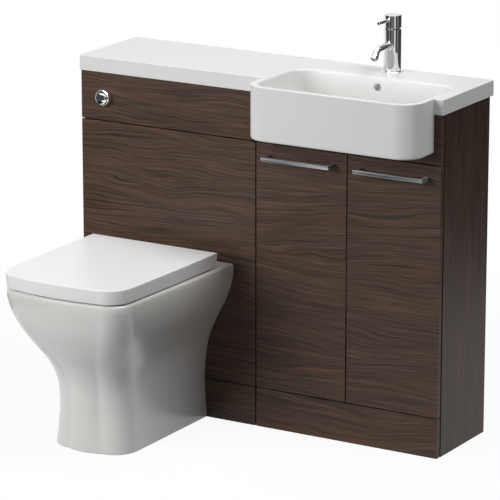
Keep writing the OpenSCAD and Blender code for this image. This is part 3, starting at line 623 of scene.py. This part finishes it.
def tap_pieces(material):
    """The barrel with its spout, the turning cap, the pin lever and the foot ring."""
    up = moved((*TAP, 0))
    barrel_foot = [(0, TOP_Z), (TAP_R - 0.4, TOP_Z), (TAP_R, TOP_Z + 0.4)]
    barrel_edge = [
        (TAP_R, BARREL_TOP_Z - 0.8), (TAP_R - 0.2, BARREL_TOP_Z - 0.2), (TAP_R - 0.8, BARREL_TOP_Z),
    ]
    barrel_bore = [(TAP_BORE_R, BARREL_TOP_Z), (TAP_BORE_R, BARREL_BORE_Z), (0, BARREL_BORE_Z)]
    barrel = turned("tap_barrel", barrel_foot + barrel_edge + barrel_bore, 96, up)
    spout, mouth = tap_spout()
    shaped(barrel, ("UNION", spout), ("DIFFERENCE", mouth))
    finished(barrel, "unit", material, "tap_body")

    cap_bore = [(0, CAP_TOP_Z - 5), (CAP_BORE_R, CAP_TOP_Z - 5), (CAP_BORE_R, CAP_LOW_Z)]
    cap_foot = [(TAP_R - 0.8, CAP_LOW_Z), (TAP_R - 0.2, CAP_LOW_Z + 0.2), (TAP_R, CAP_LOW_Z + 0.8)]
    cap_edge = [(TAP_R, CAP_TOP_Z - 1.4), (TAP_R - 0.4, CAP_TOP_Z - 0.4), (TAP_R - 1.4, CAP_TOP_Z)]
    cap = turned("tap_turning_cap", cap_bore + cap_foot + cap_edge + [(0, CAP_TOP_Z)], 96, up)
    finished(cap, "tap_cap", material, "tap_cap")

    lever_root = [(0, TAP_BORE_R), (LEVER_R, TAP_BORE_R)]
    lever_edge = [
        (LEVER_R, LEVER_REACH - 0.6), (LEVER_R - 0.2, LEVER_REACH - 0.2), (LEVER_R - 0.6, LEVER_REACH),
    ]
    forward = moved((*TAP, LEVER_Z), 90)
    lever = turned("tap_pin_lever", lever_root + lever_edge + [(0, LEVER_REACH)], 40, forward)
    finished(lever, "tap_cap", material, "tap_lever")

    ring_top = TOP_Z + RING_H
    ring_foot = [(RING_BORE_R, TOP_Z), (RING_R - 0.2, TOP_Z), (RING_R, TOP_Z + 0.3)]
    ring_edge = [(RING_R, ring_top - 0.9), (RING_R - 0.6, ring_top - 0.2), (RING_R - 1.6, ring_top)]
    ring = turned("tap_foot_ring", ring_foot + ring_edge + [(RING_BORE_R, ring_top)], 96, up)
    finished(ring, "unit", material, "tap_base_ring")


# ---------------------------------------------------------------- pan

PAN_STATIONS = [  # height, half width at the back, reach in front of the boards
    (0, 110, 387), (50, 106, 384), (105, 104, 382), (160, 108, 387), (210, 118, 407), (260, 140, 441),
    (310, 166, 468), (355, 182, 484), (385, 187, 492), (397, 187, 493),
]
PAN_TAPER = 0.075
PAN_TAPER_START_Z = -30
PAN_CORNER_R = 62.0
PAN_RIM_R = 7
BOWL_OVALS = [  # height, half width, half length, middle in front of the boards
    (212, 42, 62, -262), (240, 66, 92, -272), (280, 90, 124, -285), (330, 106, 146, -294),
    (385, 112, 156, -298),
]
BOWL_RIM_R = 6
SPIGOT_Z = 180
SPIGOT_R, SPIGOT_BORE_R = 51, 44
INLET_Z, INLET_R = 335, 27.5
TRAPWAY_Y, TRAPWAY_Z, TRAPWAY_LEAN = -120, 233, 65
SIDE_HOLE_Y, SIDE_HOLE_Z, SIDE_HOLE_R = 25, 36, 4.2


def pan_ring(z, inset=0.0, at=None):
    """The pan's outline at height z, drawn in by inset, and laid at another height where at is given."""
    half = smooth_value(PAN_STATIONS, z, 1)
    reach = smooth_value(PAN_STATIONS, z, 2)
    front = half * (1 - PAN_TAPER * (z - PAN_TAPER_START_Z) / (PAN_RIM_Z - PAN_TAPER_START_Z))
    corner = min(PAN_CORNER_R, front - 4) - inset * 0.5
    rear_y, reach_y = FRONT_Y - inset, FRONT_Y - reach + inset
    return soft_outline(half - inset, front - inset, rear_y, reach_y, corner, z if at is None else at)


def bowl_ring(deck, z, grow=0.0):
    """The inside of the bowl at height z, wider by grow, with as many points as the deck's outline."""
    half_x, half_y, middle = (smooth_value(BOWL_OVALS, z, column) for column in (1, 2, 3))
    return oval_like(deck, half_x + grow, half_y + grow, middle + FRONT_Y, z)


def pan_rings():
    """The rings of the pan's skin, from inside its foot up the outside, over the rim and down the bowl."""
    foot_z, sides_z, edge_z = 2, 395, PAN_STATIONS[-1][0]
    rings = [pan_ring(foot_z, inset, at) for inset, at in ((14, 95), (14, 0), (1.6, 0), (0.5, 0.5))]
    rings += [pan_ring(foot_z + (sides_z - foot_z) * i / 60) for i in range(61)]
    for a in quarter(6)[1:]:
        height = PAN_RIM_Z - PAN_RIM_R + PAN_RIM_R * math.sin(a)
        rings.append(pan_ring(edge_z, PAN_RIM_R - PAN_RIM_R * math.cos(a), height))
    deck = rings[-1]
    rings.append(bowl_ring(deck, PAN_RIM_Z, 26))
    _, half_x, half_y, middle = BOWL_OVALS[-1]
    for a in quarter(5):
        inward = BOWL_RIM_R * math.sin(a)
        edge_x, edge_y = half_x + BOWL_RIM_R - inward, half_y + BOWL_RIM_R - inward
        height = PAN_RIM_Z - BOWL_RIM_R + BOWL_RIM_R * math.cos(a)
        rings.append(oval_like(deck, edge_x, edge_y, middle + FRONT_Y, height))
    rings += [bowl_ring(deck, z) for z in (385, 370, 350, 330, 305, 280, 260, 240, 226)]
    sump_y = BOWL_OVALS[0][3] + FRONT_Y
    return rings + [oval_like(deck, 36, 54, sump_y, 217), oval_like(deck, 24, 36, sump_y, 213)]


def toilet_pan(material):
    """The pan in one piece of china, with its spigot, flush inlet, way out and side fixing holes."""
    pan = skin("toilet_pan", pan_rings())
    to_back = moved((PAN_X, FRONT_Y, SPIGOT_Z), -90)
    spigot_end = [(SPIGOT_R, 43.5), (50.4, 44.6), (49.4, 45), (0, 45)]
    spigot = turned("spigot", [(0, -2), (SPIGOT_R, -2)] + spigot_end, 72, to_back)
    bore = rod("spigot_bore", SPIGOT_BORE_R, -60, 50, 64, to_back)
    inlet = rod("inlet_bore", INLET_R, -50, 10, 64, moved((PAN_X, FRONT_Y, INLET_Z), -90))
    way_out = [(0, 0), (30, 0), (34, 8), (34, 100), (0, 100)]
    trapway = turned("trapway_cut", way_out, 64, moved((PAN_X, TRAPWAY_Y, TRAPWAY_Z), -TRAPWAY_LEAN))
    side_holes = [
        rod("side_hole", SIDE_HOLE_R, 92, 125, 24, moved((PAN_X, SIDE_HOLE_Y, SIDE_HOLE_Z), side * 90, "Y"))
        for side in (-1, 1)
    ]
    cuts = (("DIFFERENCE", tool) for tool in (bore, inlet, trapway, *side_holes))
    shaped(pan, ("UNION", spigot), *cuts)
    finished(pan, "unit", material, "pan", crease=30)


# ---------------------------------------------------------------- seat

SEAT_REAR_HALF, SEAT_FRONT_HALF = 179, 172
SEAT_REACH_Y = -376
SEAT_CORNER_R = 60
LID_REAR_Y = 58
LID_FOOT_Z, LID_CEILING_Z, LID_TOP_Z = 406.5, 433.5, 441.5
LID_LUG_X, RING_LUG_X, POST_X = 64, 92, 78
POST_GAP_HALF = 24
RING_INSET = 7
RING_REAR_Y = 30.0
RING_REAR_R = 10.0
RING_HOLE = (104, 146)
RING_HOLE_Y = -176.0
RING_FOOT_Z, RING_TOP_Z = 406, 426
KNUCKLE_R, KNUCKLE_BORE_R, KNUCKLE_HALF = 7, 4.05, 5.5


def seat_outline(inset, z, rear_y, rear_corner=0.0):
    """The outline of the lid at height z, drawn in by inset at the sides and front."""
    return soft_outline(
        SEAT_REAR_HALF - inset, SEAT_FRONT_HALF - inset, rear_y, SEAT_REACH_Y + inset,
        SEAT_CORNER_R - inset / 2, z, rear_corner,
    )


def knuckle(name, x):
    """A knuckle round the hinge pin, in the middle of its lug."""
    low, high = -KNUCKLE_HALF, KNUCKLE_HALF
    profile = [(KNUCKLE_BORE_R, low), (KNUCKLE_R, low), (KNUCKLE_R, high), (KNUCKLE_BORE_R, high)]
    return turned(name, profile, 40, moved((x, HINGE_Y, HINGE_Z), 90, "Y"))


def seat_lid_piece(material):
    """The lid, hollow below, with gaps for the hinge posts and two lugs with their knuckles."""
    inside = [(7.5, LID_CEILING_Z, 7), (6.8, 430.5, 6), (6.2, 407.2, 5.5), (5.6, LID_FOOT_Z, 5)]
    outside = [
        (3.4, LID_FOOT_Z), (2.7, 406.9), (2.2, 408), (1.2, 418), (0.4, 430),
        (0.0, 438.5), (0.12, 440.2), (0.55, 441.1), (1.4, LID_TOP_Z), (9, LID_TOP_Z),
    ]
    rings = [seat_outline(inset, z, LID_REAR_Y - rear_inset) for inset, z, rear_inset in inside]
    rings += [seat_outline(inset, z, LID_REAR_Y - inset) for inset, z in outside]
    lid = skin("seat_lid_shell", rings)
    gaps, lugs = [], []
    for side in (-1, 1):
        post_x, x = PAN_X + side * POST_X, PAN_X + side * LID_LUG_X
        low, high = (post_x - POST_GAP_HALF, 38, 404), (post_x + POST_GAP_HALF, 60, LID_CEILING_Z)
        gaps.append(block("hinge_gap", low, high))
        low, high = (x - KNUCKLE_HALF, HINGE_Y - 6.6, HINGE_Z), (x + KNUCKLE_HALF, HINGE_Y + 6.6, 434.5)
        lugs += [block("lid_lug", low, high), knuckle("lid_knuckle", x)]
    shaped(lid, *(("DIFFERENCE", gap) for gap in gaps), *(("UNION", lug) for lug in lugs))
    finished(lid, "seat_lid", material, "seat_lid", crease=28)


def seat_ring_piece(material):
    """The ring, flat below and rounded above, with two lugs and their knuckles."""
    def rim(inset, z):
        return seat_outline(RING_INSET + inset, z, RING_REAR_Y - inset, RING_REAR_R)

    base = rim(0, RING_FOOT_Z)
    over_the_top = [
        (2.0, RING_FOOT_Z), (0.5, 406.8), (0, 408.5), (0, 420),
        (0.8, 423), (3.0, 425), (7, 425.9), (14, RING_TOP_Z),
    ]
    down_the_hole = [
        (16, 424.6), (8, 421.5), (3, 417.5), (0.6, 413), (0, 410), (0.4, 407.4), (2.0, RING_FOOT_Z),
    ]
    rings = [rim(inset, z) for inset, z in over_the_top]
    rings += [
        oval_like(base, RING_HOLE[0] + grow, RING_HOLE[1] + grow, RING_HOLE_Y, z) for grow, z in down_the_hole
    ]
    ring = skin("seat_ring_body", rings, closed=True)
    lugs = []
    for x in (PAN_X - RING_LUG_X, PAN_X + RING_LUG_X):
        low, high = (x - KNUCKLE_HALF, RING_REAR_Y - 4, HINGE_Z - 6), (x + KNUCKLE_HALF, HINGE_Y, HINGE_Z + 5)
        lugs += [block("ring_lug", low, high), knuckle("ring_knuckle", x)]
    shaped(ring, *(("UNION", lug) for lug in lugs))
    finished(ring, "seat_ring", material, "seat_ring", crease=30)


# ---------------------------------------------------------------- flush button

COLLAR_R, COLLAR_BORE_R = 20.5, 15.5
COLLAR_REACH = 18
NECK_R, NECK_L = 16.8, 30
DOME_R = 40
DOME_CENTRE = -16
BUTTON_R = 15.2
BUTTON_REAR = -14
SEAM_OFFSET = 4
SEAM_GAP = 0.6


def button_half(side, keep, profile, place, material):
    """The part of the domed button on one side of the seam: keep is -1 for left and 1 for right."""
    half = turned(f"flush_button_{side}_dome", profile, 96, place)
    mesh = bmesh.new()
    mesh.from_mesh(half.data)
    cut = bmesh.ops.bisect_plane(
        mesh,
        geom=mesh.verts[:] + mesh.edges[:] + mesh.faces[:],
        plane_co=((BUTTON[0] + SEAM_OFFSET + keep * SEAM_GAP / 2) * MM, 0, 0),
        plane_no=(-keep, 0, 0),
        clear_outer=True,
    )
    edges = [part for part in cut["geom_cut"] if isinstance(part, bmesh.types.BMEdge)]
    bmesh.ops.contextual_create(mesh, geom=edges)
    bmesh.ops.recalc_face_normals(mesh, faces=mesh.faces)
    mesh.to_mesh(half.data)
    mesh.free()
    finished(half, f"button_{side}", material, f"button_{side}")


def flush_button(material):
    """The collar, and the two halves of the dome, which slide in on their own."""
    out = moved((BUTTON[0], FRONT_Y, BUTTON[1]), 90)
    neck = [(COLLAR_BORE_R, -NECK_L), (NECK_R, -NECK_L), (NECK_R, 0)]
    lip = [(COLLAR_R, 0), (COLLAR_R, 14.2), (20.2, 15.4), (19.0, 17.4), (18.2, COLLAR_REACH)]
    mouth = [(16.4, COLLAR_REACH), (COLLAR_BORE_R, 17.2)]
    collar = turned("flush_button_collar", neck + lip + mouth, 96, out)
    finished(collar, "unit", material, "button_collar")

    edge = math.asin(BUTTON_R / DOME_R)
    edge_height = DOME_CENTRE + DOME_R * math.cos(edge)
    profile = [(0, DOME_CENTRE + DOME_R)]
    for a in (edge * i / 14 for i in range(1, 14)):
        profile.append((DOME_R * math.sin(a), DOME_CENTRE + DOME_R * math.cos(a)))
    profile += [(BUTTON_R, edge_height - 0.4), (BUTTON_R, BUTTON_REAR), (0, BUTTON_REAR)]
    for side, keep in (("full", -1), ("half", 1)):
        button_half(side, keep, profile, out, material)


# ---------------------------------------------------------------- everything in its finish

DUCT_WHITE_NODES = (
    "waste_nut", "trap_body", "trap_cup", "trap_collars", "trap_outlet",
    "cistern_tank", "cistern_lid", "flush_valve", "fill_valve", "fill_float",
    "flush_pipe", "button_nut", "tap_cartridge", "pan_brackets",
)
ZINC_NODES = (
    "tap_aerator", "tap_spindle", "tap_washer", "tap_stud", "handle_screws_left", "handle_screws_right",
    "hinge_cups_left", "hinge_cups_right", "hinge_links_left", "hinge_links_right", "hinge_arms",
    "panel_brackets", "pan_screws",
)


def plastics():
    """The seat's gloss white, the duct white of cistern and waste, and black rubber."""
    seat_white = moulded_plastic("seat_plastic", (0.89,) * 3, (0.91,) * 3, 0.36, 900.0, 0.00001, 0.32)
    duct_white = moulded_plastic("duct_plastic", (0.70, 0.70, 0.68), (0.77, 0.77, 0.75), 0.45, 420.0, 0.00006)
    black = moulded_plastic("black_rubber", (0.012,) * 3, (0.03,) * 3, 0.7, 300.0, 0.0001)
    return seat_white, duct_white, black


def dress_boards():
    """Walnut on every board, each with its own figure: upright on the sides, level on the fronts. The sides'
    walnut is darker: painted shade.
    """
    fronts = (
        "wc_upper_panel", "wc_lower_panel", "wc_plinth",
        "vanity_fascia", "vanity_plinth", "door_left", "door_right",
    )
    sides = ("wc_side_left", "wc_side_right", "vanity_side_left", "vanity_side_right")
    for seed, node in enumerate(fronts):
        kept(node, walnut(f"walnut_{node}", 0, 2, 11 + seed), 0.5)
    for seed, node in enumerate(sides):
        # tone -0.12 darkens the side boards' walnut: painted shade, for sides that get less light than the
        # fronts.
        kept(node, walnut(f"walnut_{node}", 2, 1, 31 + seed, -0.12, 0.3), 0.5)
    inner = walnut("walnut_inner_boards", 0, 2, 51)
    for node in ("vanity_front_rail", "vanity_back_rails", "wc_rails"):
        kept(node, inner, 0.4)
    kept("vanity_base", walnut("walnut_vanity_base", 0, 1, 52), 0.4)


def dress():
    """Builds the refined skins and puts a finish on every CAD node that stays."""
    marble, china, plate = cast_marble(), glazed_ceramic(), chrome()
    seat_white, duct_white, black = plastics()
    bar_steel = brushed("satin_bar_steel", 0, (0.07, 0.07, 0.073), (0.58, 0.58, 0.585), 0.38, 300.0, 0.6)
    zinc = brushed("zinc_plated_steel", 2, (0.42, 0.42, 0.41), (0.62, 0.62, 0.60), 0.38)

    worktop_and_bowl(marble)
    tap_pieces(plate)
    toilet_pan(china)
    seat_lid_piece(seat_white)
    seat_ring_piece(seat_white)
    flush_button(plate)

    dress_boards()
    for finish, edge, nodes in (
        (bar_steel, 0.6, ("handle_left", "handle_right")),
        (duct_white, 0.3, DUCT_WHITE_NODES),
        (plate, 0.3, ("waste_body", "waste_plug", "seat_hinges")),
        (zinc, 0.15, ZINC_NODES),
        (black, 0.3, ("flush_seal", "seat_buffers")),
    ):
        for node in nodes:
            kept(node, finish, edge)


# ---------------------------------------------------------------- floor, light and camera

FLOOR_HALF = 9.0
FLOOR_DROP = 0.0004
AMBIENT = 0.04
WHITE_RAYS = ("Is Camera Ray", "Is Glossy Ray", "Is Transmission Ray")


def floor():
    """A floor that the camera and mirrors see as white, but for the unit's shadow near it."""
    mesh = bmesh.new()
    bmesh.ops.create_grid(mesh, x_segments=2, y_segments=2, size=FLOOR_HALF)
    ground = laid("studio_floor", mesh)
    ground.location.z = -FLOOR_DROP
    finish = Finish("floor_white", Roughness=0.9, Specular_IOR_Level=0.0)
    seen, mirrored, through = (finish.node("ShaderNodeLightPath", out=ray) for ray in WHITE_RAYS)
    direct = seen.math("MAXIMUM", mirrored).math("MAXIMUM", through)
    finish.give(Base_Color=finish.mixed(direct, (0.22, 0.22, 0.22), (1.0, 1.0, 1.0)))
    spread = finish.node("ShaderNodeVectorMath", {"operation": "LENGTH"}, {0: finish.place()}, out="Value")
    share = 0.92 + spread.between(0.9, 2.0) * 0.08
    white = finish.node("ShaderNodeEmission", inputs={"Color": (1, 1, 1, 1), "Strength": 1.0})
    shade = Wire(finish, finish.bsdf.outputs[0])
    both = finish.node("ShaderNodeMixShader", inputs={0: direct * share, 1: shade, 2: white})
    finish.feed(finish.tree.nodes["Material Output"].inputs["Surface"], both)
    ground.data.materials.append(finish.material)


def world():
    """A faint light from all round, which the camera and mirrors see as white."""
    sky = bpy.data.worlds.new("studio")
    bpy.context.scene.world = sky
    sky.use_nodes = True
    nodes, links = sky.node_tree.nodes, sky.node_tree.links
    nodes.clear()
    path, mix = nodes.new("ShaderNodeLightPath"), nodes.new("ShaderNodeMixShader")
    for socket, strength in ((1, AMBIENT), (2, 1.0)):
        light = nodes.new("ShaderNodeBackground")
        light.inputs["Color"].default_value = (1, 1, 1, 1)
        light.inputs["Strength"].default_value = strength
        links.new(light.outputs[0], mix.inputs[socket])
    seen = path.outputs[WHITE_RAYS[0]]
    for ray in WHITE_RAYS[1:]:
        either = nodes.new("ShaderNodeMath")
        either.operation = "MAXIMUM"
        links.new(seen, either.inputs[0])
        links.new(path.outputs[ray], either.inputs[1])
        seen = either.outputs[0]
    links.new(seen, mix.inputs[0])
    links.new(mix.outputs[0], nodes.new("ShaderNodeOutputWorld").inputs[0])


def lamp(name, place, target, size, power):
    """A square soft box at a place, turned to a target."""
    light = bpy.data.lights.new(name, "AREA")
    light.shape = "SQUARE"
    light.size = size
    light.energy = power
    made = bpy.data.objects.new(name, light)
    made.location = place
    made.rotation_euler = (Vector(target) - Vector(place)).to_track_quat("-Z", "Y").to_euler()
    bpy.context.scene.collection.objects.link(made)


def lights():
    """Soft boxes: at the left in front, overhead, high on the right, and a faint one on the right behind."""
    lamp("key_left", (-1.75, -3.85, 2.1), (0.0, 0.0, 0.45), 2.4, 146)
    lamp("top_soft", (-0.1, 0.1, 4.4), (-0.1, 0.1, 0.0), 2.6, 50)
    lamp("right_high", (3.5, 0.2, 6.4), (0.0, 0.0, 0.5), 2.4, 208)
    lamp("right_rear", (3.2, 1.6, 1.6), (0.3, 0.2, 0.5), 1.8, 6)


def card(name, start, stop, tone, high=1.25, low=0.02, low_out=1.9, high_out=1.9):
    """A card bent round the unit from one azimuth to another, that only mirrors see.

    low and high are the heights of its edges, and low_out and high_out how far out they are, in metres."""
    mesh = bmesh.new()
    steps, rows = 6, []
    for k in range(steps + 1):
        a = math.radians(start + (stop - start) * k / steps)
        out = Vector((math.sin(a), -math.cos(a), 0))
        edges = ((low_out, low), (high_out, high))
        rows.append([mesh.verts.new(out * distance + Vector((0, 0, z))) for distance, z in edges])
    for (a, b), (c, d) in zip(rows, rows[1:]):
        mesh.faces.new((a, c, d, b))
    made = laid(name, mesh)
    made.visible_camera = made.visible_diffuse = made.visible_shadow = False
    finish = Finish(name, Base_Color=(0.0, 0.0, 0.0, 1.0), Specular_IOR_Level=0.0,
                    Emission_Color=(tone, tone, tone, 1.0), Emission_Strength=1.0)
    made.data.materials.append(finish.material)


def cards():
    """Grey cards with gaps between them, for the streaks in the chrome and the sheen of boards and glaze."""
    card("card_left", -88, -14, 0.055)
    card("card_front_left", -14, -4, 0.30)
    card("card_front", -4, 20, 0.05)
    card("card_front_right", 20, 67, 0.14)
    card("card_right", 78, 98, 0.05)
    card("card_right_pale", 98, 116, 0.17)
    card("card_right_rear", 116, 192, 0.05)
    card("card_wall", 180, 238, 0.02, high=0.75, low_out=0.55, high_out=0.55)
    card("card_rear_high", 146, 178, 0.05, high=2.5, low=1.3)
    card("card_left_high", -90, -14, 0.22, high=4.2, low=1.3)
    card("card_right_high", 88, 140, 0.10, high=2.3, low=1.3)
    card("card_on_floor", -100, -38, 0.02, high=0.012, low=0.010, low_out=1.0)
    card("card_rear", 192, 232, 0.88, high=2.2)


def camera():
    """The photograph's view, without a shift."""
    view = bpy.data.cameras.new("photo_view")
    view.lens = 236.9
    view.sensor_width = 36.0
    view.clip_end = 100
    made = bpy.data.objects.new("photo_view", view)
    made.location = (3.916, -6.4551, 2.5053)
    made.rotation_euler = (math.radians(74.927), 0.0, math.radians(30.882))
    bpy.context.scene.collection.objects.link(made)
    bpy.context.scene.camera = made


camera()
floor()
world()
lights()
cards()
dress()
bpy.context.scene.view_settings.view_transform = "Standard"
